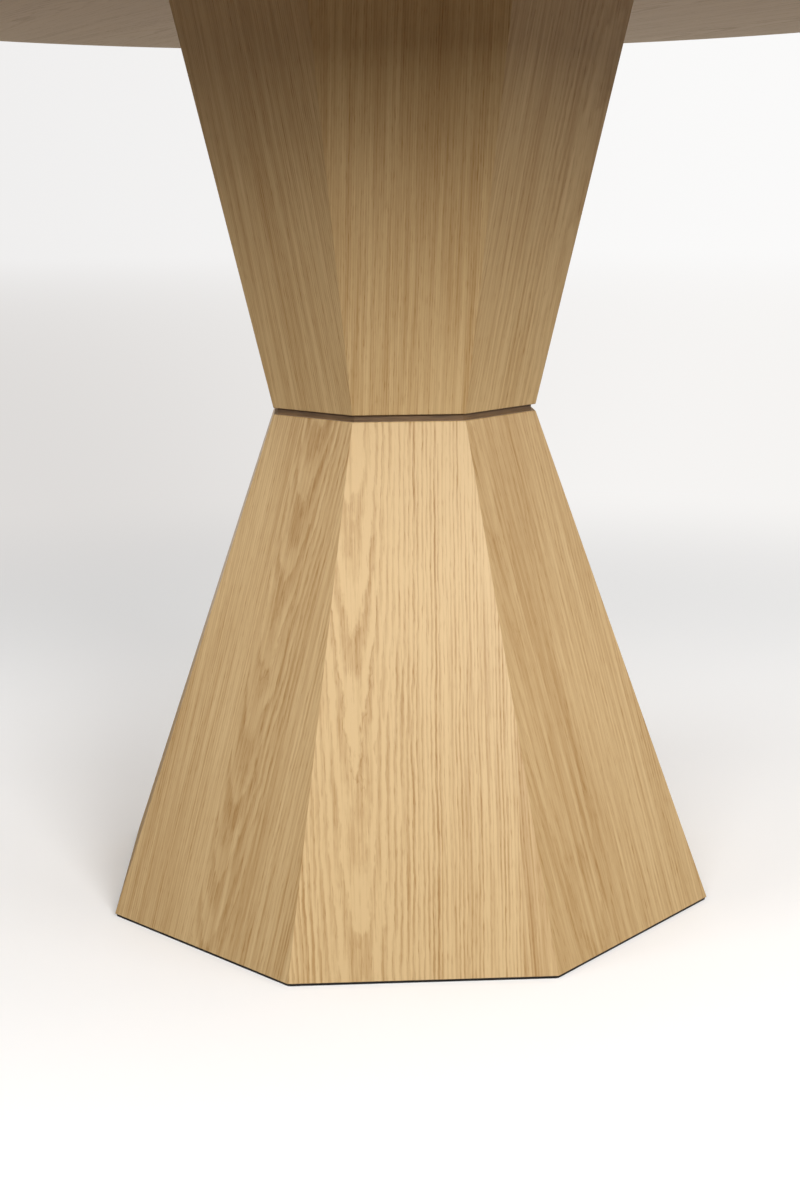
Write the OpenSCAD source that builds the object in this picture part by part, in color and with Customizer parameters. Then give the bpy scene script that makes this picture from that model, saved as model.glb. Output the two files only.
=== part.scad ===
// Round pedestal table: a disc top on an octagonal hourglass pedestal.
// Two truncated octagonal pyramids of mitred panels meet at a dark, recessed waist ring.
// The origin is the centre of the footprint on the floor. +Z is up, and panel 1, the front, faces -Y.
// Panels are numbered anticlockwise, seen from above.

/* [Table] */
// Height from the floor to the top surface
table_h = 750; // [620:1:900]
// Diameter of the round top
top_d = 1300; // [1000:10:1600]
// Overall thickness of the top
top_t = 28; // [24:1:40]

/* [Top] */
// Thickness of the veneer on each face of the top's core
veneer_t = 1; // [0.6:0.1:2]
// Radial thickness of the band around the top's edge
band_t = 2; // [1.5:0.5:10]
// Rounding of the band's two outer arrises
band_round = 1.2; // [0.4:0.1:1.4]

/* [Pedestal] */
// Width of the foot across its flats
foot_af = 476; // [440:1:600]
// Width of the waist across its flats
waist_af = 206; // [196:1:260]
// Width of the pedestal across its flats, where it meets the top
head_af = 352; // [320:1:460]
// Height of the lower body's upper edge above the floor
waist_z = 392; // [320:1:480]
// Height of the shadow gap at the waist
waist_gap = 5; // [3:0.5:10]
// Depth of the shadow gap, in from the panels' outer faces
waist_inset = 3.5; // [2:0.5:8]
// Thickness of the sixteen mitred panels
panel_t = 16; // [12:1:20]

/* [Inner plates] */
// Thickness of the two plates that close the bodies at the waist
waist_plate_t = 18; // [16:1:24]
// Thickness of the plate that carries the top
head_plate_t = 18; // [16:1:24]
// Thickness of the frame inside the foot
base_frame_t = 22; // [18:1:30]
// Width of the land between the waist's hand hole and the panels
waist_land = 36; // [30:1:44]
// Diameter of the hand hole through the foot
foot_hole_d = 120; // [80:1:128]
// Thickness of the black laminate under the foot
foot_plate_t = 2; // [1.5:0.5:4]
// Distance that the laminate stands in from the panels
foot_plate_inset = 1; // [0.5:0.5:4]
// Rounding of the laminate's eight corners
foot_plate_round = 5; // [2:1:12]

/* [Ballast] */
// Gap between the steel ballast plate and the levelling feet's stems
ballast_gap = 11; // [5:1:30]
// Thickness of the steel ballast plate
ballast_t = 25; // [15:1:40]
// Number of screws that hold the ballast
ballast_screw_n = 4; // [4, 8]
// Distance of the ballast screws from the ballast plate's edge
ballast_screw_edge = 55; // [20:1:60]
// Diameter of a ballast screw
ballast_screw_d = 8; // [6:1:10]
// Depth that a ballast screw goes into the base frame
ballast_screw_grip = 16; // [12:1:17]

/* [Bolts] */
// Diameter of the bolts
bolt_d = 8; // [6:1:8]
// Diameter of a bolt's socket head
bolt_head_d = 13; // [11:0.5:14]
// Height of a bolt's socket head
bolt_head_h = 8; // [6:0.5:9]
// Width of a bolt head's hexagon socket
bolt_key_af = 6; // [5:0.5:6]
// Depth of a bolt head's hexagon socket
bolt_key_depth = 4; // [3:0.5:5]
// Diameter of a washer
washer_d = 18; // [16:0.5:20]
// Thickness of a washer
washer_t = 1.6; // [1:0.1:2.5]
// Outer diameter of a threaded insert
insert_d = 12; // [11:0.5:14]
// Length of a threaded insert
insert_l = 15; // [12:0.5:15]
// Depth that a bolt goes into its insert
bolt_grip = 10.4; // [8:0.1:11.5]
// Radial clearance of a bolt in a plain hole
bolt_play = 0.5; // [0.2:0.1:1]
// Number of bolts at the waist
waist_bolt_n = 4; // [4, 8]
// Number of bolts that hold the top
head_bolt_n = 8; // [4, 8]
// Distance of the bolts that hold the top from the panels
head_bolt_edge = 36; // [20:1:60]

/* [Levelling feet] */
// Wood left between a levelling foot's recess and the panels
leveller_wall = 6.5; // [4:0.5:20]
// Travel of a levelling foot out of the table
leveller_travel = 10; // [5:1:15]
// Diameter of a levelling foot's pad
pad_d = 32; // [28:1:34]
// Height of a pad
pad_h = 7; // [6:0.5:8]
// Radial clearance of a pad in its recess
pad_play = 1; // [0.5:0.5:2]
// Thickness of the pad's floor, under the stem's flange
pad_floor_t = 2; // [1.5:0.5:2.5]
// Diameter of the key hole through the pad's floor
pad_key_d = 7; // [6:0.5:8]
// Diameter of the threaded stem
stem_d = 8; // [6:1:10]
// Diameter of the stem's captive flange
stem_flange_d = 13; // [12:0.5:16]
// Thickness of the stem's captive flange
stem_flange_t = 3; // [2:0.5:3]
// Length of stem that stays above its insert when the foot is fully out
stem_spare = 4; // [1:0.5:8]
// Width of the hexagon socket in the stem's lower end
stem_key_af = 5; // [4:0.5:5]
// Depth of the hexagon socket in the stem's lower end
stem_key_depth = 6; // [4:0.5:8]
// Outer diameter of a levelling foot's threaded insert
leveller_insert_d = 14; // [13:0.5:18]
// Radial running clearance of a stem in its insert and its pad
stem_play = 0.05; // [0.02:0.01:0.09]

/* [Hidden] */
SIDES = 8;
LEVELLERS = 4;
STEP = 360 / SIDES;
HALF_STEP = STEP / 2;
// Chords in each rounded corner of the foot plate
ARC_STEPS = 5;
// Overshoot of a cutting tool past the face that it cuts
CUT = 1;

OAK = [0.80, 0.65, 0.45];
STAINED_OAK = [0.36, 0.26, 0.18];
PLY = [0.83, 0.73, 0.56];
CORE = [0.62, 0.50, 0.37];
BLACK = [0.08, 0.08, 0.08];
STEEL = [0.30, 0.31, 0.33];
ZINC = [0.72, 0.73, 0.75];
BRASS = [0.78, 0.64, 0.32];

// Levels above the floor
panel_foot_z = foot_plate_t;
base_frame_top_z = foot_plate_t + base_frame_t;
ballast_top_z = base_frame_top_z + ballast_t;
upper_z = waist_z + waist_gap;
under_z = table_h - top_t;

// Each body is described by its lower level and width, then its upper level and width
LOWER_BODY = [panel_foot_z, foot_af, waist_z, waist_af];
UPPER_BODY = [upper_z, waist_af, under_z, head_af];

// Lean of a body's faces from the upright, and the distance from the axis at a level to a face
// of the body and to the inner side of its panels
function lean(body) = atan2((body[3] - body[1]) / 2, body[2] - body[0]);
function face_r(body, z) = body[1] / 2 + (z - body[0]) * tan(lean(body));
function wall_r(body, z) = face_r(body, z) - panel_t / cos(lean(body));

core_d = top_d - 2 * band_t;
bolt_hole_d = bolt_d + 2 * bolt_play;
insert_bore_d = bolt_d + 2 * stem_play;
waist_wall_r = min(wall_r(LOWER_BODY, waist_z), wall_r(UPPER_BODY, upper_z));
waist_hole_d = 2 * (waist_wall_r - waist_land);
waist_pcd = waist_hole_d + waist_land;
head_pcd = 2 * (wall_r(UPPER_BODY, under_z - head_plate_t) - head_bolt_edge);
waist_bolt_l = washer_t + waist_plate_t + waist_gap + bolt_grip;
head_bolt_l = washer_t + head_plate_t + bolt_grip;
recess_d = pad_d + 2 * pad_play;
leveller_r = wall_r(LOWER_BODY, base_frame_top_z) - leveller_wall - recess_d / 2;
ballast_af = 2 * (leveller_r - stem_d / 2 - ballast_gap);
ballast_pcd = ballast_af - 2 * ballast_screw_edge;
ballast_hole_d = ballast_screw_d + 2 * bolt_play;
ballast_flange_d = 2 * ballast_screw_d;
ballast_flange_t = ballast_screw_d / 5;
ballast_hex_d = 1.75 * ballast_screw_d;
ballast_hex_h = 0.65 * ballast_screw_d;
stem_hole_d = stem_d + 2 * stem_play;
flange_z = pad_floor_t + stem_play;
stem_top_z = base_frame_top_z + leveller_travel + stem_spare;

TOP_PARTS = ["top_core", "top_veneer", "under_veneer", "edge_band", "top_inserts"];
HEAD_PARTS = ["head_plate", "head_bolts", "head_washers"];
WAIST_PARTS = ["upper_waist_plate", "waist_ring", "lower_waist_plate", "waist_inserts"];
WAIST_FIXINGS = ["waist_bolts", "waist_washers"];
FOOT_PARTS = ["base_frame", "ballast_plate", "ballast_screws", "foot_plate", "leveller_inserts"];
UPPER_PANELS = [for (i = [1:SIDES]) str("upper_panel_", i)];
LOWER_PANELS = [for (i = [1:SIDES]) str("lower_panel_", i)];
STEMS = [for (i = [1:LEVELLERS]) str("leveller_stem_", i)];
PADS = [for (i = [1:LEVELLERS]) str("leveller_pad_", i)];
$fn = 96;

// ---- shared shapes ----

// An upright octagonal prism whose flats face the axes
module octagon_block(af, z0, z1) {
    translate([0, 0, z0])
        rotate(HALF_STEP)
            cylinder(d = af / cos(HALF_STEP), h = z1 - z0, $fn = SIDES);
}

// A disc from one level to another
module disc(d, z0, z1) {
    translate([0, 0, z0])
        cylinder(d = d, h = z1 - z0);
}

// Children repeated around the vertical axis, on a circle of bolts
module on_circle(pcd, count) {
    for (k = [0:count - 1])
        rotate(k * 360 / count)
            translate([pcd / 2, 0, 0])
                children();
}

// Children at one numbered leveller, which stand on the diagonals
module at_leveller(i) {
    rotate(45 + (i - 1) * 360 / LEVELLERS)
        translate([leveller_r, 0, 0])
            children();
}

// A slab that lies on the front face of a body, from `outward` outside it to `inward` inside it
module face_slab(body, outward, inward) {
    slope_l = (body[2] - body[0]) / cos(lean(body));
    slab_w = max(body[1], body[3]);
    translate([0, -body[1] / 2, body[0]])
        rotate([lean(body), 0, 0])
            translate([-slab_w / 2, -outward, -2 * panel_t])
                cube([slab_w, outward + inward, slope_l + 4 * panel_t]);
}

// The upright wedge, one eighth of a turn wide, that the mitres cut from a body
module mitre_wedge(body) {
    reach = max(body[1], body[3]);
    half_w = reach * tan(HALF_STEP);
    translate([0, 0, body[0]])
        linear_extrude(body[2] - body[0])
            polygon([[0, 0], [-half_w, -reach], [half_w, -reach]]);
}

// One mitred panel of a body
module panel(body, i) {
    rotate((i - 1) * STEP)
        intersection() {
            face_slab(body, 0, panel_t);
            mitre_wedge(body);
        }
}

// A plate that fills a body from wall to wall, its edges bevelled to lie against the panels
module fitted_plate(body, z0, z1) {
    difference() {
        octagon_block(max(body[1], body[3]), z0, z1);
        for (k = [0:SIDES - 1])
            rotate(k * STEP)
                face_slab(body, max(body[1], body[3]), panel_t);
    }
}

// A socket-head bolt that points up, its washer face at z = 0
module bolt(length) {
    cylinder(d = bolt_d, h = length);
    difference() {
        translate([0, 0, -bolt_head_h])
            cylinder(d = bolt_head_d, h = bolt_head_h);
        translate([0, 0, -bolt_head_h - CUT])
            cylinder(d = bolt_key_af / cos(30), h = bolt_key_depth + CUT, $fn = 6);
    }
}

// A flat washer that lies on z = 0 and hangs below it
module washer() {
    translate([0, 0, -washer_t])
        difference() {
            cylinder(d = washer_d, h = washer_t);
            translate([0, 0, -CUT])
                cylinder(d = bolt_hole_d, h = washer_t + 2 * CUT);
        }
}

// A threaded insert that stands on z = 0
module insert(outer_d, bore_d, length) {
    difference() {
        cylinder(d = outer_d, h = length);
        translate([0, 0, -CUT])
            cylinder(d = bore_d, h = length + 2 * CUT);
    }
}

// ---- the round top ----

module top_core() {
    color(CORE)
        difference() {
            disc(core_d, under_z + veneer_t, table_h - veneer_t);
            on_circle(head_pcd, head_bolt_n)
                disc(insert_d, under_z - CUT, under_z + insert_l);
        }
}

module top_veneer() {
    color(OAK)
        disc(core_d, table_h - veneer_t, table_h);
}

module under_veneer() {
    color(OAK)
        difference() {
            disc(core_d, under_z, under_z + veneer_t);
            on_circle(head_pcd, head_bolt_n)
                disc(insert_d, under_z - CUT, under_z + veneer_t + CUT);
        }
}

// The band's section: a thin upright strip with its two outer corners rounded
module edge_band() {
    outer = top_d / 2;
    color(OAK)
        rotate_extrude()
            translate([0, under_z]) {
                translate([core_d / 2, 0])
                    square([band_t - band_round, top_t]);
                translate([core_d / 2, band_round])
                    square([band_t, top_t - 2 * band_round]);
                intersection() {
                    for (z = [band_round, top_t - band_round])
                        translate([outer - band_round, z])
                            circle(r = band_round);
                    translate([outer - band_round, 0])
                        square([band_round, top_t]);
                }
            }
}

module top_inserts() {
    color(BRASS)
        on_circle(head_pcd, head_bolt_n)
            translate([0, 0, under_z])
                insert(insert_d, insert_bore_d, insert_l);
}

// ---- the upper body ----

module upper_panel(i) {
    color(OAK)
        panel(UPPER_BODY, i);
}

module head_plate() {
    color(PLY)
        difference() {
            fitted_plate(UPPER_BODY, under_z - head_plate_t, under_z);
            on_circle(head_pcd, head_bolt_n)
                disc(bolt_hole_d, under_z - head_plate_t - CUT, under_z + CUT);
        }
}

module head_washers() {
    color(ZINC)
        on_circle(head_pcd, head_bolt_n)
            translate([0, 0, under_z - head_plate_t])
                washer();
}

module head_bolts() {
    color(ZINC)
        on_circle(head_pcd, head_bolt_n)
            translate([0, 0, under_z - head_plate_t - washer_t])
                bolt(head_bolt_l);
}

// ---- the waist ----

module upper_waist_plate() {
    color(PLY)
        difference() {
            fitted_plate(UPPER_BODY, upper_z, upper_z + waist_plate_t);
            disc(waist_hole_d, upper_z - CUT, upper_z + waist_plate_t + CUT);
            on_circle(waist_pcd, waist_bolt_n)
                disc(insert_d, upper_z - CUT, upper_z + insert_l);
        }
}

module waist_inserts() {
    color(BRASS)
        on_circle(waist_pcd, waist_bolt_n)
            translate([0, 0, upper_z])
                insert(insert_d, insert_bore_d, insert_l);
}

module waist_ring() {
    color(STAINED_OAK)
        difference() {
            octagon_block(waist_af - 2 * waist_inset, waist_z, upper_z);
            disc(waist_hole_d, waist_z - CUT, upper_z + CUT);
            on_circle(waist_pcd, waist_bolt_n)
                disc(bolt_hole_d, waist_z - CUT, upper_z + CUT);
        }
}

module lower_waist_plate() {
    color(PLY)
        difference() {
            fitted_plate(LOWER_BODY, waist_z - waist_plate_t, waist_z);
            disc(waist_hole_d, waist_z - waist_plate_t - CUT, waist_z + CUT);
            on_circle(waist_pcd, waist_bolt_n)
                disc(bolt_hole_d, waist_z - waist_plate_t - CUT, waist_z + CUT);
        }
}

module waist_washers() {
    color(ZINC)
        on_circle(waist_pcd, waist_bolt_n)
            translate([0, 0, waist_z - waist_plate_t])
                washer();
}

module waist_bolts() {
    color(ZINC)
        on_circle(waist_pcd, waist_bolt_n)
            translate([0, 0, waist_z - waist_plate_t - washer_t])
                bolt(waist_bolt_l);
}

// ---- the lower body ----

module lower_panel(i) {
    color(OAK)
        panel(LOWER_BODY, i);
}

module base_frame() {
    color(PLY)
        difference() {
            fitted_plate(LOWER_BODY, panel_foot_z, base_frame_top_z);
            disc(foot_hole_d, panel_foot_z - CUT, base_frame_top_z + CUT);
            on_circle(ballast_pcd, ballast_screw_n)
                disc(ballast_screw_d, base_frame_top_z - ballast_screw_grip, base_frame_top_z + CUT);
            for (i = [1:LEVELLERS])
                at_leveller(i) {
                    disc(recess_d, panel_foot_z - CUT, pad_h);
                    disc(leveller_insert_d, panel_foot_z, base_frame_top_z + CUT);
                }
        }
}

module ballast_plate() {
    color(STEEL)
        difference() {
            octagon_block(ballast_af, base_frame_top_z, ballast_top_z);
            disc(foot_hole_d, base_frame_top_z - CUT, ballast_top_z + CUT);
            on_circle(ballast_pcd, ballast_screw_n)
                disc(ballast_hole_d, base_frame_top_z - CUT, ballast_top_z + CUT);
        }
}

module ballast_screws() {
    color(ZINC)
        on_circle(ballast_pcd, ballast_screw_n) {
            disc(ballast_screw_d, base_frame_top_z - ballast_screw_grip, ballast_top_z);
            disc(ballast_flange_d, ballast_top_z, ballast_top_z + ballast_flange_t);
            translate([0, 0, ballast_top_z])
                cylinder(d = ballast_hex_d, h = ballast_flange_t + ballast_hex_h, $fn = 6);
        }
}

// Outline of an octagon whose corners are rounded, each by an arc of a few short chords
function rounded_octagon(af, r) = [
    for (k = [0:SIDES - 1], j = [0:ARC_STEPS])
        let (corner = (k + 0.5) * STEP, turn = corner + (j / ARC_STEPS - 0.5) * STEP,
             centre_r = (af / 2 - r) / cos(HALF_STEP))
            [centre_r * cos(corner) + r * cos(turn), centre_r * sin(corner) + r * sin(turn)]
];

module foot_plate() {
    color(BLACK)
        difference() {
            linear_extrude(foot_plate_t)
                polygon(rounded_octagon(foot_af - 2 * foot_plate_inset, foot_plate_round));
            disc(foot_hole_d, -CUT, foot_plate_t + CUT);
            for (i = [1:LEVELLERS])
                at_leveller(i)
                    disc(recess_d, -CUT, foot_plate_t + CUT);
        }
}

module leveller_inserts() {
    color(BRASS)
        for (i = [1:LEVELLERS])
            at_leveller(i)
                translate([0, 0, pad_h])
                    insert(leveller_insert_d, stem_hole_d, base_frame_top_z - pad_h);
}

// ---- the levelling feet ----

module leveller_stem(i) {
    color(ZINC)
        at_leveller(i)
            translate([0, 0, flange_z])
                difference() {
                    union() {
                        cylinder(d = stem_flange_d, h = stem_flange_t);
                        cylinder(d = stem_d, h = stem_top_z - flange_z);
                    }
                    translate([0, 0, -CUT])
                        cylinder(d = stem_key_af / cos(30), h = stem_key_depth + CUT, $fn = 6);
                }
}

module leveller_pad(i) {
    color(BLACK)
        at_leveller(i)
            difference() {
                disc(pad_d, 0, pad_h);
                disc(pad_key_d, -CUT, pad_floor_t + CUT);
                disc(stem_flange_d + 2 * stem_play, pad_floor_t,
                     flange_z + stem_flange_t + stem_play);
                disc(stem_hole_d, pad_floor_t, pad_h + CUT);
            }
}

// ---- the assembly ----

top_core();
top_veneer();
under_veneer();
edge_band();
top_inserts();
head_plate();
head_bolts();
head_washers();
upper_waist_plate();
waist_ring();
lower_waist_plate();
waist_inserts();
waist_bolts();
waist_washers();
base_frame();
ballast_plate();
ballast_screws();
foot_plate();
leveller_inserts();
for (i = [1:SIDES])
    upper_panel(i);
for (i = [1:SIDES])
    lower_panel(i);
for (i = [1:LEVELLERS])
    leveller_stem(i);
for (i = [1:LEVELLERS])
    leveller_pad(i);
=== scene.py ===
"""Looks for the round pedestal table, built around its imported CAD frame. Metres, +Z up, front towards -Y."""

import math
import random
from dataclasses import dataclass

import bmesh
import bpy
from mathutils import Matrix, Vector


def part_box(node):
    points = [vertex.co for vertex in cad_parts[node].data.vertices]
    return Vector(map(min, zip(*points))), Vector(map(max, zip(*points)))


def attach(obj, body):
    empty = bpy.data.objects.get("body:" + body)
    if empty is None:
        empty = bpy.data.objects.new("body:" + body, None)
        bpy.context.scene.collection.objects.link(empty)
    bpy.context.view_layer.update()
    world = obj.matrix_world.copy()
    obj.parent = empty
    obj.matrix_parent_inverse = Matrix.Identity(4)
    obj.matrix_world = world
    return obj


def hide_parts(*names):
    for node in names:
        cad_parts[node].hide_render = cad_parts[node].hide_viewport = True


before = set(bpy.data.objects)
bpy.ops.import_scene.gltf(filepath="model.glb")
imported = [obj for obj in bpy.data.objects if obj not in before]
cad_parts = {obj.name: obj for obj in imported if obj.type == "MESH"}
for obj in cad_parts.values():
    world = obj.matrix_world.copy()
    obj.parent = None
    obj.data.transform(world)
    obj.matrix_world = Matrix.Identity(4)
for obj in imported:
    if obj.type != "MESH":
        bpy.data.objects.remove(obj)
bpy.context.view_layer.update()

UP = Vector((0, 0, 1))


# ---------------------------------------------------------------- camera

# Radians and metres. The camera stands on the front side and is then turned about the table's axis.
CAMERA_TURN = 0.04845
CAMERA_DISTANCE = 1.41035
CAMERA_HEIGHT = 0.55127
CAMERA_PITCH = 0.22312
CAMERA_YAW = -0.00246
CAMERA_ROLL = -0.01032
CAMERA_LENS = 52.30


def make_camera():
    """A camera at seat height, looking slightly down at the pedestal from the front."""
    forward = Vector(
        (
            math.cos(CAMERA_PITCH) * math.sin(CAMERA_YAW),
            math.cos(CAMERA_PITCH) * math.cos(CAMERA_YAW),
            -math.sin(CAMERA_PITCH),
        )
    )
    level_right = Vector((math.cos(CAMERA_YAW), -math.sin(CAMERA_YAW), 0))
    level_up = level_right.cross(forward)
    right = level_right * math.cos(CAMERA_ROLL) + level_up * math.sin(CAMERA_ROLL)
    up = level_up * math.cos(CAMERA_ROLL) - level_right * math.sin(CAMERA_ROLL)
    turned = Matrix((right, up, -forward)).transposed().to_4x4()
    turned.translation = Vector((0, -CAMERA_DISTANCE, CAMERA_HEIGHT))
    data = bpy.data.cameras.new("camera")
    data.lens = CAMERA_LENS
    data.sensor_width = 36
    data.clip_start = 0.05
    data.clip_end = 100
    camera = bpy.data.objects.new("camera", data)
    bpy.context.scene.collection.objects.link(camera)
    camera.matrix_world = Matrix.Rotation(-CAMERA_TURN, 4, "Z") @ turned
    bpy.context.scene.camera = camera


# ---------------------------------------------------------------- node helpers


def link(tree, value, socket):
    """Joins another node's output to a socket, or sets the socket to a plain value."""
    if isinstance(value, bpy.types.NodeSocket):
        tree.links.new(value, socket)
    else:
        socket.default_value = value


def maths(tree, operation, *values):
    node = tree.nodes.new("ShaderNodeMath")
    node.operation = operation
    for socket, value in zip(node.inputs, values):
        link(tree, value, socket)
    return node.outputs[0]


def add(tree, a, b):
    return maths(tree, "ADD", a, b)


def times(tree, a, b):
    return maths(tree, "MULTIPLY", a, b)


def smooth(tree, value, low, high, start=0.0, end=1.0):
    """A smooth step of value between low and high, from start to end."""
    node = tree.nodes.new("ShaderNodeMapRange")
    node.interpolation_type = "SMOOTHSTEP"
    for name, given in (
        ("Value", value),
        ("From Min", low),
        ("From Max", high),
        ("To Min", start),
        ("To Max", end),
    ):
        link(tree, given, node.inputs[name])
    return node.outputs[0]


def split(tree, vector):
    node = tree.nodes.new("ShaderNodeSeparateXYZ")
    link(tree, vector, node.inputs[0])
    return node.outputs


def join(tree, x, y, z):
    node = tree.nodes.new("ShaderNodeCombineXYZ")
    for socket, value in zip(node.inputs, (x, y, z)):
        link(tree, value, socket)
    return node.outputs[0]


def stretch(tree, vector, scales):
    node = tree.nodes.new("ShaderNodeVectorMath")
    node.operation = "MULTIPLY"
    link(tree, vector, node.inputs[0])
    node.inputs[1].default_value = scales
    return node.outputs[0]


def shift(tree, vector, offset):
    node = tree.nodes.new("ShaderNodeVectorMath")
    node.operation = "ADD"
    link(tree, vector, node.inputs[0])
    link(tree, offset, node.inputs[1])
    return node.outputs[0]


def noise(tree, vector, scales, detail=1.0, rough=0.5):
    """Noise from 0 to 1, with its own number of features per metre along each axis."""
    node = tree.nodes.new("ShaderNodeTexNoise")
    node.inputs["Scale"].default_value = 1.0
    node.inputs["Detail"].default_value = detail
    node.inputs["Roughness"].default_value = rough
    link(tree, stretch(tree, vector, scales), node.inputs["Vector"])
    return node.outputs["Fac"]


def chance(tree, number):
    """A fixed random value from 0 to 1 for each whole number."""
    node = tree.nodes.new("ShaderNodeTexWhiteNoise")
    node.noise_dimensions = "1D"
    link(tree, number, node.inputs["W"])
    return node.outputs["Value"]


def mix_colour(tree, factor, first, second):
    node = tree.nodes.new("ShaderNodeMix")
    node.data_type = "RGBA"
    node.clamp_factor = True
    link(tree, factor, node.inputs[0])
    link(tree, first, node.inputs[6])
    link(tree, second, node.inputs[7])
    return node.outputs[2]


def bump(tree, height, depth, strength=1.0):
    node = tree.nodes.new("ShaderNodeBump")
    node.inputs["Strength"].default_value = strength
    node.inputs["Distance"].default_value = depth
    link(tree, height, node.inputs["Height"])
    return node.outputs["Normal"]


def object_coordinates(tree):
    return tree.nodes.new("ShaderNodeTexCoord").outputs["Object"]


def new_material(name):
    """An empty material: its tree, and its Principled shader."""
    material = bpy.data.materials.new(name)
    material.use_nodes = True
    shader = material.node_tree.nodes["Principled BSDF"]
    return material, material.node_tree, shader


def solid(red, green, blue):
    return (red, green, blue, 1.0)


# ---------------------------------------------------------------- oak veneer

GROUP_FLOATS = (
    "Leaf Width",
    "Heart",
    "Heart Spread",
    "Depth",
    "Taper",
    "Ring",
    "Slant",
    "Wobble",
    "Figure",
    "Streak",
    "Tone",
    "Seed",
    "Roughness",
)


def oak_group():
    """The shared oak pattern. Local coordinates: X across the leaf, Y along the grain, Z out of the face.

    A leaf is a flat slice through a log. Depth is how far the slice passes from the log's heart at Y = 0,
    and Taper how much that changes along the leaf, so that the rings show as nested arches above the heart
    and as straight lines beside it.
    """
    group = bpy.data.node_groups.new("oak_veneer", "ShaderNodeTree")
    face = group.interface
    face.new_socket("Vector", in_out="INPUT", socket_type="NodeSocketVector")
    for name in GROUP_FLOATS:
        face.new_socket(name, in_out="INPUT", socket_type="NodeSocketFloat")
    face.new_socket("Light", in_out="INPUT", socket_type="NodeSocketColor")
    face.new_socket("Dark", in_out="INPUT", socket_type="NodeSocketColor")
    face.new_socket("Color", in_out="OUTPUT", socket_type="NodeSocketColor")
    face.new_socket("Roughness", in_out="OUTPUT", socket_type="NodeSocketFloat")
    face.new_socket("Height", in_out="OUTPUT", socket_type="NodeSocketFloat")
    given = group.nodes.new("NodeGroupInput").outputs
    result = group.nodes.new("NodeGroupOutput").inputs

    across, along, out = split(group, given["Vector"])
    leaf = maths(group, "FLOOR", add(group, maths(group, "DIVIDE", across, given["Leaf Width"]), 0.5))
    side = maths(group, "SUBTRACT", across, times(group, leaf, given["Leaf Width"]))
    mirror = maths(group, "SUBTRACT", 1.0, times(group, maths(group, "FLOORED_MODULO", leaf, 2.0), 2.0))
    side = times(group, side, mirror)
    luck = chance(group, add(group, times(group, leaf, 3.7), given["Seed"]))
    heart = add(group, given["Heart"], times(group, add(group, luck, -0.5), given["Heart Spread"]))
    side = add(group, side, times(group, along, given["Slant"]))
    seed = add(group, given["Seed"], times(group, luck, 9.0))
    place = shift(group, join(group, side, along, out), join(group, 0.0, seed, seed))

    sway = add(group, noise(group, place, (7.0, 4.0, 1.0), 1.0), -0.5)
    jitter = add(group, noise(group, place, (60.0, 24.0, 1.0), 4.0, 0.6), -0.5)
    ragged = add(group, noise(group, place, (240.0, 60.0, 1.0), 2.0, 0.6), -0.5)
    moved = add(group, times(group, sway, 3.0), add(group, jitter, times(group, ragged, 0.45)))
    moved = times(group, moved, given["Wobble"])
    from_heart = maths(group, "SUBTRACT", side, heart)
    depth = add(group, given["Depth"], times(group, along, given["Taper"]))
    depth = add(group, depth, times(group, jitter, given["Wobble"]))
    reach = add(group, times(group, from_heart, from_heart), times(group, depth, depth))
    reach = add(group, maths(group, "SQRT", reach), moved)
    rings = maths(group, "DIVIDE", reach, given["Ring"])
    part = maths(group, "FRACT", rings)
    fading = smooth(group, part, 0.12, 0.72, 1.0, 0.0)
    rising = smooth(group, part, 0.80, 1.0)
    early = maths(group, "MAXIMUM", fading, rising)
    ring_luck = chance(group, add(group, maths(group, "FLOOR", rings), given["Seed"]))
    weight = smooth(group, ring_luck, 0.0, 1.0, 0.45, 1.0)
    years = noise(group, join(group, rings, seed, 0.0), (0.23, 1.0, 1.0), 1.0)
    slow = smooth(group, years, 0.3, 0.7, 0.45, 1.05)
    gaps = noise(group, place, (520.0, 26.0, 1.0), 3.0, 0.6)
    broken = smooth(group, gaps, 0.32, 0.62, 0.45, 1.1)
    early = times(group, times(group, early, weight), times(group, slow, broken))

    fibre = add(group, noise(group, place, (260.0, 5.0, 1.0), 4.0, 0.7), -0.5)
    broad = add(group, noise(group, place, (16.0, 2.2, 1.0), 2.0), -0.5)
    pores = smooth(group, noise(group, place, (1100.0, 90.0, 1.0), 2.0), 0.52, 0.72)
    pores = times(group, pores, add(group, times(group, early, 0.7), 0.3))

    dark = add(group, times(group, add(group, early, -0.4), given["Figure"]), given["Tone"])
    dark = add(group, dark, times(group, fibre, given["Streak"]))
    dark = add(group, dark, times(group, broad, 0.8))
    dark = add(group, dark, times(group, pores, 0.5))
    link(group, mix_colour(group, dark, given["Light"], given["Dark"]), result["Color"])
    rough = add(group, given["Roughness"], times(group, add(group, early, pores), 0.06))
    link(group, rough, result["Roughness"])
    sunk = add(group, pores, times(group, early, 0.4))
    height = maths(group, "SUBTRACT", times(group, fibre, 0.5), sunk)
    link(group, height, result["Height"])
    return group


OAK_LIGHT = solid(0.587, 0.417, 0.212)
OAK_DARK = solid(0.340, 0.190, 0.062)
GRAIN_DEPTH = 0.00006
ONE_LEAF = 50.0


@dataclass
class Leaf:
    """One veneer leaf of a panel, in metres. It ends at right_edge across the panel."""

    right_edge: float = 1.0
    heart: float = -0.30
    depth: float = 0.02
    taper: float = 0.0
    ring: float = 0.0024
    slant: float = 0.0
    wobble: float = 0.0016
    figure: float = 0.45
    streak: float = 1.7
    tone: float = 0.38
    seed: float = 0.0
    roughness: float = 0.36


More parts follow.
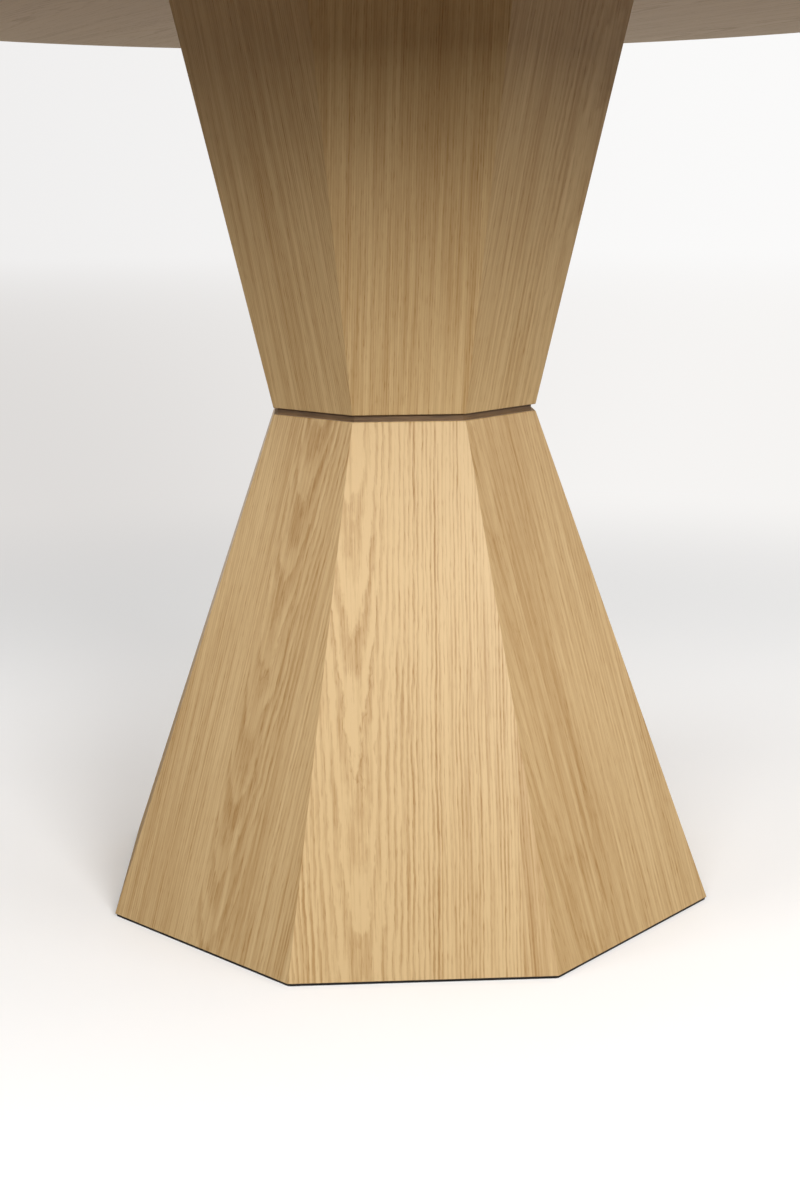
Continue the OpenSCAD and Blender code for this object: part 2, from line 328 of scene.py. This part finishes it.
def oak_material(name, leaf, group, origin, across, along, out, leaf_width=ONE_LEAF, spread=0.0):
    """Lacquered oak on a face whose grain follows along. Origin and directions are in the table's frame."""
    material, tree, shader = new_material(name)
    mapping = tree.nodes.new("ShaderNodeMapping")
    mapping.vector_type = "TEXTURE"
    mapping.inputs["Location"].default_value = origin
    mapping.inputs["Rotation"].default_value = Matrix((across, along, out)).transposed().to_euler()
    link(tree, object_coordinates(tree), mapping.inputs["Vector"])
    finish_oak(tree, shader, group, mapping.outputs[0], leaf, leaf_width, spread)
    return material


def finish_oak(tree, shader, group, vector, leaf, leaf_width, spread):
    """Joins the shared pattern to a shader. A spread moves the heart from one leaf of a sheet to the next."""
    oak = tree.nodes.new("ShaderNodeGroup")
    oak.node_tree = group
    values = {
        "Leaf Width": leaf_width,
        "Heart": leaf.heart,
        "Heart Spread": spread,
        "Depth": leaf.depth,
        "Taper": leaf.taper,
        "Ring": leaf.ring,
        "Slant": leaf.slant,
        "Wobble": leaf.wobble,
        "Figure": leaf.figure,
        "Streak": leaf.streak,
        "Tone": leaf.tone,
        "Seed": leaf.seed,
        "Roughness": leaf.roughness,
        "Light": OAK_LIGHT,
        "Dark": OAK_DARK,
    }
    for key, value in values.items():
        oak.inputs[key].default_value = value
    link(tree, vector, oak.inputs["Vector"])
    link(tree, oak.outputs["Color"], shader.inputs["Base Color"])
    link(tree, oak.outputs["Roughness"], shader.inputs["Roughness"])
    link(tree, bump(tree, oak.outputs["Height"], GRAIN_DEPTH), shader.inputs["Normal"])
    shader.inputs["IOR"].default_value = 1.5
    shader.inputs["Specular IOR Level"].default_value = 0.25


# ---------------------------------------------------------------- pedestal panels

PANELS = 8
ARRIS_RADIUS = 0.0008
LIP = 0.0003

# The panels in view, from left to right in each body.

SHOWN_LEAVES = {
    "lower_panel_8": (
        Leaf(right_edge=-0.009, heart=-0.35, slant=-0.02, figure=0.40, tone=0.42, seed=3.0),
        Leaf(heart=0.007, depth=0.060, taper=-0.042, ring=0.0023, figure=0.52, tone=0.46, seed=11.0),
    ),
    "lower_panel_1": (
        Leaf(
            right_edge=0.0735, heart=-0.045, depth=0.053, taper=-0.021, figure=0.95, tone=0.36, seed=5.0
        ),
        Leaf(heart=-0.4, slant=0.05, figure=0.50, tone=0.60, seed=17.0),
    ),
    "lower_panel_2": (
        Leaf(heart=-0.044, depth=0.080, taper=-0.030, ring=0.0026, figure=0.31, tone=0.42, seed=23.0),
    ),
    "upper_panel_8": (Leaf(heart=-0.33, ring=0.0019, slant=0.01, figure=0.40, seed=29.0),),
    "upper_panel_1": (Leaf(heart=0.30, ring=0.0018, slant=-0.03, figure=0.38, seed=31.0),),
    "upper_panel_2": (Leaf(heart=0.055, depth=0.080, taper=0.03, figure=0.40, seed=37.0),),
}


def other_leaves(name):
    """Leaves for a panel at the back, in the same manner as the front's."""
    luck = random.Random(name)
    joint = luck.uniform(-0.03, 0.05)
    straight = Leaf(heart=luck.choice((-0.35, 0.35)), slant=luck.uniform(-0.03, 0.03))
    straight.seed = luck.uniform(40, 90)
    arched = Leaf(heart=luck.uniform(-0.04, 0.04), depth=luck.uniform(0.045, 0.075), figure=0.50)
    arched.taper = -luck.uniform(0.02, 0.045)
    arched.seed = luck.uniform(40, 90)
    if luck.random() < 0.4:
        return (straight,)
    first, second = (straight, arched) if luck.random() < 0.5 else (arched, straight)
    first.right_edge = joint
    return (first, second)


def cut(bm, point, normal):
    """Takes off everything beyond a plane and closes the cut with one flat face."""
    geometry = list(bm.verts) + list(bm.edges) + list(bm.faces)
    made = bmesh.ops.bisect_plane(
        bm, geom=geometry, dist=1e-7, plane_co=point, plane_no=normal, clear_outer=True
    )
    edges = [item for item in made["geom_cut"] if isinstance(item, bmesh.types.BMEdge)]
    if edges:
        bmesh.ops.contextual_create(bm, geom=edges)
    bm.normal_update()


def outward(number):
    """The level direction a panel faces. Panel 1 is the front, and they count anticlockwise from above."""
    angle = math.radians(45 * (number - 1) - 90)
    return Vector((math.cos(angle), math.sin(angle), 0))


def ease_edges(bm, out, corners, low, high):
    """Rounds a panel's two side arrises with two cuts each, and takes a fine lip off its ends."""
    for turn in (-45, 45):
        neighbour = Matrix.Rotation(math.radians(turn), 3, "Z") @ out
        middle = (out + neighbour).normalized()
        corner = max(corners, key=lambda c: c.dot(middle))
        axis = corner - middle * ARRIS_RADIUS / middle.dot(out)
        for normal in (middle, (middle + out).normalized()):
            cut(bm, axis + normal * ARRIS_RADIUS, normal)
    for level, direction in ((low, -UP), (high, UP)):
        edge_point = min(corners, key=lambda c: abs(c.z - level))
        normal = (out + direction).normalized()
        cut(bm, edge_point - normal * LIP, normal)


def mark_leaves(bm, leaves, origin, across, out):
    """Splits the face where two leaves of veneer meet, and gives each leaf its own material slot."""
    for leaf in leaves[:-1]:
        geometry = list(bm.verts) + list(bm.edges) + list(bm.faces)
        joint = origin + across * leaf.right_edge
        bmesh.ops.bisect_plane(bm, geom=geometry, dist=1e-7, plane_co=joint, plane_no=across)
    bm.normal_update()
    for shown in bm.faces:
        shown.material_index = 0
        if shown.normal.dot(out) < 0.6:
            continue
        place = (shown.calc_center_median() - origin).dot(across)
        shown.material_index = 1 + sum(place > leaf.right_edge for leaf in leaves)


def panel_piece(body, number, group, board):
    """A veneered panel: the CAD panel with eased arrises, and each leaf of veneer as its own material."""
    name = f"{body}_panel_{number}"
    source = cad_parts[name]
    facing = outward(number)
    bm = bmesh.new()
    bm.from_mesh(source.data)
    bmesh.ops.remove_doubles(bm, verts=bm.verts, dist=1e-6)
    bmesh.ops.dissolve_limit(bm, angle_limit=0.01, verts=bm.verts, edges=bm.edges)
    face = max(bm.faces, key=lambda f: f.normal.dot(facing))
    out = face.normal.copy()
    along = (UP - out * out.dot(UP)).normalized()
    across = along.cross(out)
    corners = [v.co.copy() for v in face.verts]
    low = min(corners, key=lambda c: c.z).z
    high = max(corners, key=lambda c: c.z).z
    bottom = [c for c in corners if c.z < low + 1e-4]
    origin = (bottom[0] + bottom[1]) / 2

    ease_edges(bm, out, corners, low, high)
    leaves = SHOWN_LEAVES.get(name) or other_leaves(name)
    mark_leaves(bm, leaves, origin, across, out)

    mesh = bpy.data.meshes.new(name + "_veneered")
    bm.to_mesh(mesh)
    bm.free()
    piece = bpy.data.objects.new(name + "_veneered", mesh)
    bpy.context.scene.collection.objects.link(piece)
    mesh.materials.append(board)
    for index, leaf in enumerate(leaves):
        label = f"oak_{name}_{index + 1}"
        mesh.materials.append(oak_material(label, leaf, group, origin, across, along, out))
    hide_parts(name)
    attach(piece, "table")


# ---------------------------------------------------------------- materials of the other parts

BOARD_DARK = solid(0.30, 0.20, 0.115)
BOARD_LIGHT = solid(0.46, 0.33, 0.20)
STAIN_DARK = solid(0.085, 0.046, 0.018)
STAIN_LIGHT = solid(0.190, 0.107, 0.044)
ZINC_DARK = solid(0.52, 0.53, 0.55)
ZINC_LIGHT = solid(0.63, 0.63, 0.64)
# Painted shade for the roots of the levelling stems' threads.
THREAD_ROOT_PAINTED_SHADE = solid(0.16, 0.16, 0.17)
BRASS_DARK = solid(0.55, 0.40, 0.16)
BRASS_LIGHT = solid(0.68, 0.50, 0.22)
PLY_THICKNESS = 0.0014


def board_material():
    """The panels' fibreboard core, seen only on their inner faces and ends."""
    material, tree, shader = new_material("board_core")
    place = object_coordinates(tree)
    chips = noise(tree, place, (900.0, 900.0, 900.0), 3.0, 0.7)
    cloud = noise(tree, place, (25.0, 25.0, 25.0), 2.0)
    tone = add(tree, times(tree, chips, 0.7), times(tree, cloud, 0.3))
    colour = mix_colour(tree, smooth(tree, tone, 0.3, 0.7), BOARD_DARK, BOARD_LIGHT)
    link(tree, colour, shader.inputs["Base Color"])
    link(tree, smooth(tree, chips, 0.3, 0.7, 0.75, 0.9), shader.inputs["Roughness"])
    link(tree, bump(tree, chips, 0.0001), shader.inputs["Normal"])
    return material


def ply_material():
    """Birch plywood: long grain on its faces, and its plies on the edges."""
    material, tree, shader = new_material("birch_ply")
    place = object_coordinates(tree)
    level = split(tree, place)[2]
    ply = maths(tree, "PINGPONG", level, PLY_THICKNESS)
    edge_tone = smooth(tree, ply, 0.0006, 0.0008)
    grain = noise(tree, place, (220.0, 9.0, 1.0), 3.0, 0.6)
    cloud = noise(tree, place, (12.0, 3.0, 1.0), 2.0)
    face_tone = smooth(tree, add(tree, times(tree, grain, 0.5), times(tree, cloud, 0.5)), 0.3, 0.7)
    normal = split(tree, tree.nodes.new("ShaderNodeNewGeometry").outputs["Normal"])[2]
    flat = smooth(tree, maths(tree, "ABSOLUTE", normal), 0.6, 0.8)
    face = mix_colour(tree, face_tone, solid(0.52, 0.36, 0.20), solid(0.66, 0.50, 0.31))
    edge = mix_colour(tree, edge_tone, solid(0.36, 0.22, 0.11), solid(0.60, 0.44, 0.26))
    link(tree, mix_colour(tree, flat, edge, face), shader.inputs["Base Color"])
    link(tree, smooth(tree, grain, 0.3, 0.7, 0.55, 0.7), shader.inputs["Roughness"])
    link(tree, bump(tree, grain, 0.00008), shader.inputs["Normal"])
    return material


def stained_material():
    """Dark stained oak of the ring at the waist."""
    material, tree, shader = new_material("stained_oak")
    place = object_coordinates(tree)
    grain = noise(tree, place, (60.0, 60.0, 900.0), 3.0, 0.6)
    cloud = noise(tree, place, (30.0, 30.0, 60.0), 2.0)
    tone = add(tree, times(tree, grain, 0.6), times(tree, cloud, 0.4))
    colour = mix_colour(tree, smooth(tree, tone, 0.3, 0.7), STAIN_DARK, STAIN_LIGHT)
    link(tree, colour, shader.inputs["Base Color"])
    link(tree, smooth(tree, grain, 0.3, 0.7, 0.45, 0.6), shader.inputs["Roughness"])
    link(tree, bump(tree, grain, 0.00005), shader.inputs["Normal"])
    return material


def black_material(name, base, grain, roughness, depth):
    """A black finish with a fine orange-peel surface: laminate, powder coat or nylon."""
    material, tree, shader = new_material(name)
    place = object_coordinates(tree)
    peel = noise(tree, place, (grain, grain, grain), 2.0, 0.6)
    cloud = noise(tree, place, (20.0, 20.0, 20.0), 2.0)
    bright = solid(base * 1.6, base * 1.6, base * 1.65)
    colour = mix_colour(tree, smooth(tree, cloud, 0.3, 0.7), solid(base, base, base), bright)
    link(tree, colour, shader.inputs["Base Color"])
    gloss = smooth(tree, peel, 0.3, 0.7, roughness - 0.06, roughness + 0.06)
    link(tree, gloss, shader.inputs["Roughness"])
    link(tree, bump(tree, peel, depth), shader.inputs["Normal"])
    return material


def metal_material(name, first, second, roughness):
    """Plated metal with faint brushing and blotches."""
    material, tree, shader = new_material(name)
    place = object_coordinates(tree)
    brush = noise(tree, place, (700.0, 700.0, 2600.0), 3.0, 0.6)
    cloud = noise(tree, place, (140.0, 140.0, 140.0), 2.0)
    colour = mix_colour(tree, smooth(tree, cloud, 0.3, 0.7), first, second)
    link(tree, colour, shader.inputs["Base Color"])
    shader.inputs["Metallic"].default_value = 1.0
    gloss = smooth(tree, brush, 0.3, 0.7, roughness - 0.07, roughness + 0.07)
    link(tree, gloss, shader.inputs["Roughness"])
    link(tree, bump(tree, brush, 0.00002), shader.inputs["Normal"])
    return material


THREAD_PITCH = 0.00125
SHANK_RADIUS = 0.00405


def thread_material(node):
    """Zinc-plated steel with an M8 thread along the shank of one levelling stem."""
    material, tree, shader = new_material("zinc_" + node)
    low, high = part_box(node)
    middle = (low + high) / 2
    place = shift(tree, object_coordinates(tree), (-middle.x, -middle.y, 0.0))
    x, y, z = split(tree, place)
    turn = times(tree, maths(tree, "ARCTAN2", y, x), 1 / (2 * math.pi))
    phase = add(tree, maths(tree, "DIVIDE", z, THREAD_PITCH), turn)
    wave = maths(tree, "PINGPONG", phase, 0.5)
    radius = maths(tree, "SQRT", add(tree, times(tree, x, x), times(tree, y, y)))
    on_shank = smooth(tree, radius, SHANK_RADIUS - 0.0002, SHANK_RADIUS, 1.0, 0.0)
    brush = noise(tree, place, (700.0, 700.0, 2600.0), 3.0, 0.6)
    cloud = noise(tree, place, (140.0, 140.0, 140.0), 2.0)
    colour = mix_colour(tree, smooth(tree, cloud, 0.3, 0.7), ZINC_DARK, ZINC_LIGHT)
    # Painted shade: the thread's roots on the shank are darkened towards a dark grey.
    painted_root_shade = times(tree, maths(tree, "SUBTRACT", 0.5, wave), times(tree, on_shank, 1.2))
    link(tree, mix_colour(tree, painted_root_shade, colour, THREAD_ROOT_PAINTED_SHADE), shader.inputs["Base Color"])
    shader.inputs["Metallic"].default_value = 1.0
    link(tree, smooth(tree, brush, 0.3, 0.7, 0.25, 0.4), shader.inputs["Roughness"])
    height = add(tree, times(tree, wave, on_shank), times(tree, brush, 0.02))
    link(tree, bump(tree, height, 0.0008), shader.inputs["Normal"])
    return material


GRAIN_TURN = math.radians(-62.0)
TOP_LEAF_WIDTH = 0.17
TOP_HEART_SPREAD = 0.12


def top_materials(group):
    """Oak for the two faces of the top, in book-matched leaves."""
    along = Vector((math.cos(GRAIN_TURN), math.sin(GRAIN_TURN), 0))
    sheet = Leaf(heart=0.0, depth=0.06, taper=0.03, ring=0.0026)
    made = {}
    for node, out, seed, figure, tone, roughness in (
        ("top_veneer", UP, 7.0, 0.48, 0.36, 0.66),
        # The underside's paler tone is painted sheen: it stands in for backdrop light reflected off the
        # underside, which is the same oak as the top.
        ("under_veneer", -UP, 14.0, 0.95, 0.14, 0.50),
    ):
        sheet.seed = seed
        sheet.figure = figure
        sheet.tone = tone
        sheet.roughness = roughness
        origin = Vector((0, 0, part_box(node)[0].z))
        across = along.cross(out)
        made[node] = oak_material(
            "oak_" + node, sheet, group, origin, across, along, out, TOP_LEAF_WIDTH, TOP_HEART_SPREAD
        )
    return made


def band_material(group):
    """Oak edge band: its grain follows the rim."""
    material, tree, shader = new_material("oak_edge_band")
    low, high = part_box("edge_band")
    x, y, z = split(tree, object_coordinates(tree))
    along = times(tree, maths(tree, "ARCTAN2", y, x), high.x)
    out = maths(tree, "SQRT", add(tree, times(tree, x, x), times(tree, y, y)))
    leaf = Leaf(heart=-0.3, ring=0.0021, seed=53.0)
    finish_oak(tree, shader, group, join(tree, z, along, out), leaf, ONE_LEAF, 0.0)
    return material


def dress(node, material):
    """Gives a CAD node its material, without touching its mesh."""
    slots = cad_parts[node].data.materials
    if slots:
        slots[0] = material
        return
    slots.append(material)


def dress_cad(group):
    """Materials for every CAD node that shows as it is."""
    oak = top_materials(group)
    zinc = metal_material("zinc_steel", ZINC_DARK, ZINC_LIGHT, 0.33)
    brass = metal_material("brass", BRASS_DARK, BRASS_LIGHT, 0.30)
    ply = ply_material()
    board = bpy.data.materials["board_core"]
    nylon = black_material("black_nylon", 0.018, 2600.0, 0.50, 0.00004)
    plain = {
        "top_core": board,
        "top_veneer": oak["top_veneer"],
        "under_veneer": oak["under_veneer"],
        "edge_band": band_material(group),
        "top_inserts": brass,
        "waist_inserts": brass,
        "leveller_inserts": brass,
        "head_plate": ply,
        "upper_waist_plate": ply,
        "lower_waist_plate": ply,
        "base_frame": ply,
        "head_bolts": zinc,
        "head_washers": zinc,
        "waist_bolts": zinc,
        "waist_washers": zinc,
        "ballast_screws": zinc,
        "waist_ring": stained_material(),
        "ballast_plate": black_material("black_steel", 0.022, 1800.0, 0.42, 0.00006),
        "foot_plate": black_material("black_laminate", 0.012, 3200.0, 0.40, 0.00003),
    }
    for number in range(1, 5):
        plain[f"leveller_pad_{number}"] = nylon
        stem = f"leveller_stem_{number}"
        plain[stem] = thread_material(stem)
    for node, material in plain.items():
        dress(node, material)


# ---------------------------------------------------------------- studio

FLOOR_ALBEDO = 0.84
FLOOR_BOUNCE = solid(0.205, 0.168, 0.132)
FLOOR_GLOW = 0.10
FLOOR_RADIUS = 40.0
FLOOR_ENDS = (0.75, 2.0)
# Backdrop tones with painted shade on the left and painted light on the right; the sky tones are the lighter
# ones higher up.
LEFT_WALL_PAINTED_SHADE = solid(0.73, 0.71, 0.695)
RIGHT_WALL_PAINTED_LIGHT = solid(0.92, 0.905, 0.89)
LEFT_SKY_PAINTED_SHADE = solid(0.86, 0.85, 0.845)
RIGHT_SKY_PAINTED_LIGHT = solid(0.96, 0.955, 0.95)
SKY_LEFT = 0.85
SKY_RIGHT = 1.35
LIGHT_TARGET = Vector((0, 0, 0.45))


def softbox(name, azimuth, elevation, distance, width, height, power):
    """A soft area light aimed at the waist. Azimuth 0 is the front and 90 the right, in degrees."""
    data = bpy.data.lights.new(name, "AREA")
    data.shape = "RECTANGLE"
    data.size = width
    data.size_y = height
    data.energy = power
    light = bpy.data.objects.new(name, data)
    bpy.context.scene.collection.objects.link(light)
    turn = math.radians(azimuth)
    rise = math.radians(elevation)
    away = Vector((math.sin(turn) * math.cos(rise), -math.cos(turn) * math.cos(rise), math.sin(rise)))
    light.location = LIGHT_TARGET + away * distance
    light.rotation_mode = "QUATERNION"
    light.rotation_quaternion = away.to_track_quat("Z", "Y")
    light.visible_camera = False


def painted_wall_shading(tree, left_to_right, high, left, right, left_high, right_high):
    """The backdrop's painted shading: painted shade darkens it on the left, and painted light makes it lighter
    as it rises.
    """
    low_tone = mix_colour(tree, left_to_right, left, right)
    high_tone = mix_colour(tree, left_to_right, left_high, right_high)
    return mix_colour(tree, high, low_tone, high_tone)


def make_floor():
    """A pale floor that fades into the backdrop's tone a few metres behind the table.

    The floor gives back less light to the table than the eye sees, as a floor that is overexposed in a
    studio picture does.
    """
    bm = bmesh.new()
    bmesh.ops.create_circle(bm, cap_ends=True, segments=128, radius=FLOOR_RADIUS)
    mesh = bpy.data.meshes.new("floor")
    bm.to_mesh(mesh)
    bm.free()
    floor = bpy.data.objects.new("floor", mesh)
    bpy.context.scene.collection.objects.link(floor)
    material, tree, shader = new_material("floor")
    shader.inputs["Base Color"].default_value = solid(FLOOR_ALBEDO, FLOOR_ALBEDO, FLOOR_ALBEDO)
    shader.inputs["Roughness"].default_value = 0.9
    shader.inputs["Specular IOR Level"].default_value = 0.1
    shader.inputs["Emission Color"].default_value = solid(1.0, 0.99, 0.975)
    shader.inputs["Emission Strength"].default_value = FLOOR_GLOW
    dull = tree.nodes.new("ShaderNodeBsdfDiffuse")
    dull.inputs["Color"].default_value = FLOOR_BOUNCE
    seen = tree.nodes.new("ShaderNodeLightPath").outputs["Is Camera Ray"]
    near = tree.nodes.new("ShaderNodeMixShader")
    link(tree, seen, near.inputs[0])
    link(tree, dull.outputs[0], near.inputs[1])
    link(tree, shader.outputs[0], near.inputs[2])

    x, y, z = split(tree, object_coordinates(tree))
    distance = maths(tree, "SQRT", add(tree, times(tree, x, x), times(tree, y, y)))
    far = smooth(tree, distance, *FLOOR_ENDS)
    sideways = smooth(tree, maths(tree, "DIVIDE", x, distance), -0.3, 0.3)
    rising = smooth(tree, distance, 3.0, 20.0)
    glow = tree.nodes.new("ShaderNodeEmission")
    # The far floor's tone is painted shade on the left, and painted light on the right and further off.
    tone = painted_wall_shading(tree, sideways, rising, LEFT_WALL_PAINTED_SHADE, RIGHT_WALL_PAINTED_LIGHT, LEFT_SKY_PAINTED_SHADE, RIGHT_SKY_PAINTED_LIGHT)
    link(tree, tone, glow.inputs["Color"])
    behind = smooth(tree, y, 0.0, 1.5, 0.25, 1.0)
    link(tree, maths(tree, "MAXIMUM", seen, behind), glow.inputs["Strength"])
    blend = tree.nodes.new("ShaderNodeMixShader")
    link(tree, far, blend.inputs[0])
    link(tree, near.outputs[0], blend.inputs[1])
    link(tree, glow.outputs[0], blend.inputs[2])
    link(tree, blend.outputs[0], tree.nodes["Material Output"].inputs["Surface"])
    mesh.materials.append(material)


def make_world():
    """Pale all round to the eye. Its light comes mainly from the backdrop behind the table."""
    world = bpy.data.worlds.new("studio")
    bpy.context.scene.world = world
    world.use_nodes = True
    tree = world.node_tree
    tree.nodes.clear()
    x, y, z = split(tree, tree.nodes.new("ShaderNodeTexCoord").outputs["Generated"])
    light = tree.nodes.new("ShaderNodeBackground")
    sideways = smooth(tree, x, -0.3, 0.3)
    behind = smooth(tree, y, -0.15, 0.15)
    strength = smooth(tree, sideways, 0.0, 1.0, SKY_LEFT, SKY_RIGHT)
    link(tree, times(tree, behind, strength), light.inputs["Strength"])
    wall = tree.nodes.new("ShaderNodeBackground")
    # The backdrop the camera sees carries painted shade on the left and painted light on the right.
    link(tree, mix_colour(tree, sideways, LEFT_SKY_PAINTED_SHADE, RIGHT_SKY_PAINTED_LIGHT), wall.inputs["Color"])
    seen = tree.nodes.new("ShaderNodeLightPath").outputs["Is Camera Ray"]
    blend = tree.nodes.new("ShaderNodeMixShader")
    link(tree, seen, blend.inputs[0])
    link(tree, light.outputs[0], blend.inputs[1])
    link(tree, wall.outputs[0], blend.inputs[2])
    output = tree.nodes.new("ShaderNodeOutputWorld")
    link(tree, blend.outputs[0], output.inputs["Surface"])


def make_studio():
    settings = bpy.context.scene.view_settings
    settings.view_transform = "Standard"
    settings.look = "None"
    settings.exposure = 0.0
    settings.gamma = 1.0
    make_floor()
    make_world()
    softbox("front_right", 20, 20.5, 2.3, 0.8, 0.70, 40.0)
    softbox("front_left", -20, 26, 2.3, 0.8, 0.8, 16.5)
    softbox("right", 65, 31, 2.3, 0.9, 0.8, 12.0)
    softbox("left", -65, 21, 2.3, 0.9, 0.8, 15.0)
    softbox("overhead", 0, 90, 2.75, 3.0, 3.0, 11.0)


# ---------------------------------------------------------------- build


def build():
    make_camera()
    group = oak_group()
    board = board_material()
    for body in ("lower", "upper"):
        for number in range(1, PANELS + 1):
            panel_piece(body, number, group, board)
    dress_cad(group)
    make_studio()


build()
